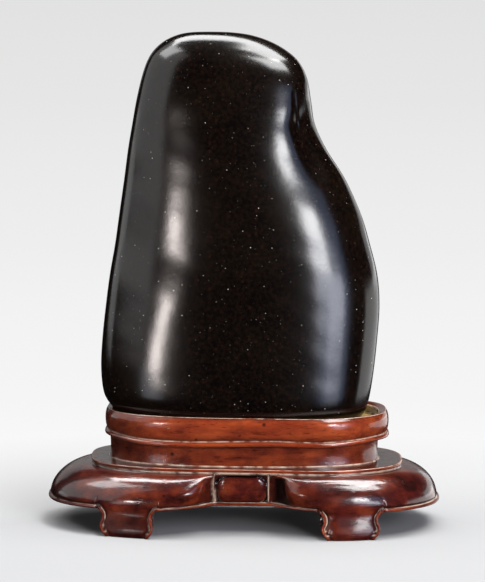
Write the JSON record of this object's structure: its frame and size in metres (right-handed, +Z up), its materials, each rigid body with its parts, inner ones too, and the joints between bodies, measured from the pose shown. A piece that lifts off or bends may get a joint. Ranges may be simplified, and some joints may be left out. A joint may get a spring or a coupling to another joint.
{
  "type": "scholars rock on stand",
  "caption": "Tall smooth black stone with a rounded crest and a slack shoulder, resting loose in the collar of a low carved hardwood stand with a lobed apron on bracket feet.",
  "frame": {"origin": "on the floor under the middle of the stand", "axes": "+Z up; X along the length of the stand; the broad display face of the stone looks toward -Y"},
  "size_m": [0.157, 0.0832, 0.1954],
  "materials": {
    "stone": "polished black limestone",
    "stand": "waxed dark reddish hardwood"
  },
  "bodies": {
    "root": {"stone": "stone", "stand": "stand"}
  },
  "joints": []
}
